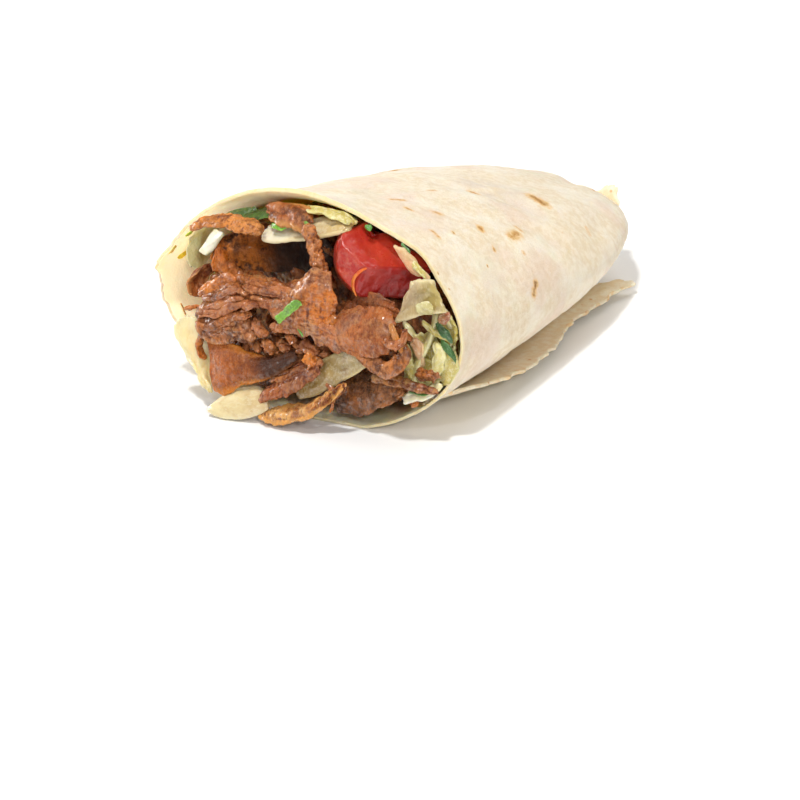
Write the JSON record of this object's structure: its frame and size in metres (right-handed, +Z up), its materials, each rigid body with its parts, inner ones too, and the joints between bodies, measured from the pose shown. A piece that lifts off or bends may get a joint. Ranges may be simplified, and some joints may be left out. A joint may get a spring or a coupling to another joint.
{
  "type": "doner kebab wrap half",
  "caption": "Half of a rolled flatbread wrap, cut across, filled with sliced roast meat, tomato, onion, shredded cabbage and parsley.",
  "frame": {"origin": "centre of the bottom of the bounding box, where the wrap rests", "axes": "+X along the roll from the cut to the closed end, +Y to the side away from the loose flap, +Z up"},
  "size_m": [0.1278, 0.082, 0.0507],
  "materials": {
    "flatbread": "matt, floury",
    "meat": "moist",
    "meat_shaded": "moist",
    "meat_crisp": "browned, glistening",
    "tomato": "wet",
    "onion": "wet, translucent",
    "cabbage": "moist, translucent",
    "parsley": "satin"
  },
  "bodies": {
    "root": {"cabbage_chunk": "onion", "cabbage_layer": "cabbage", "cabbage_leaf_far": "cabbage", "cabbage_leaf_low": "cabbage", "cabbage_piece_tan": "onion", "cabbage_rib": "onion", "cabbage_strip_1": "cabbage", "cabbage_strip_2": "cabbage", "cabbage_strip_3": "cabbage", "cabbage_strip_4": "cabbage", "flatbread": "flatbread", "meat_band_upper": "meat", "meat_core": "meat", "meat_crisp_strip": "meat_crisp", "meat_curl_floor": "meat_crisp", "meat_curl_left": "meat_shaded", "meat_curl_right": "meat", "meat_fold_left": "meat", "meat_fold_low_1": "meat", "meat_fold_low_2": "meat", "meat_fringe": "meat", "meat_hollow_slice": "meat_shaded", "meat_knobbly_strip": "meat_crisp", "meat_orange_strand": "meat_crisp", "meat_slab_middle": "meat", "meat_slice_low_left": "meat", "meat_slice_low_right": "meat_shaded", "meat_slice_right": "meat", "meat_thin_strip": "meat", "meat_top_slice": "meat", "onion_bit_low": "onion", "onion_petal_front": "onion", "onion_petal_middle": "onion", "onion_petal_top": "onion", "parsley_low": "parsley", "parsley_near": "parsley", "parsley_on_onion": "parsley", "parsley_strip": "parsley", "parsley_top": "parsley", "tomato_chunk": "tomato"}
  },
  "joints": []
}
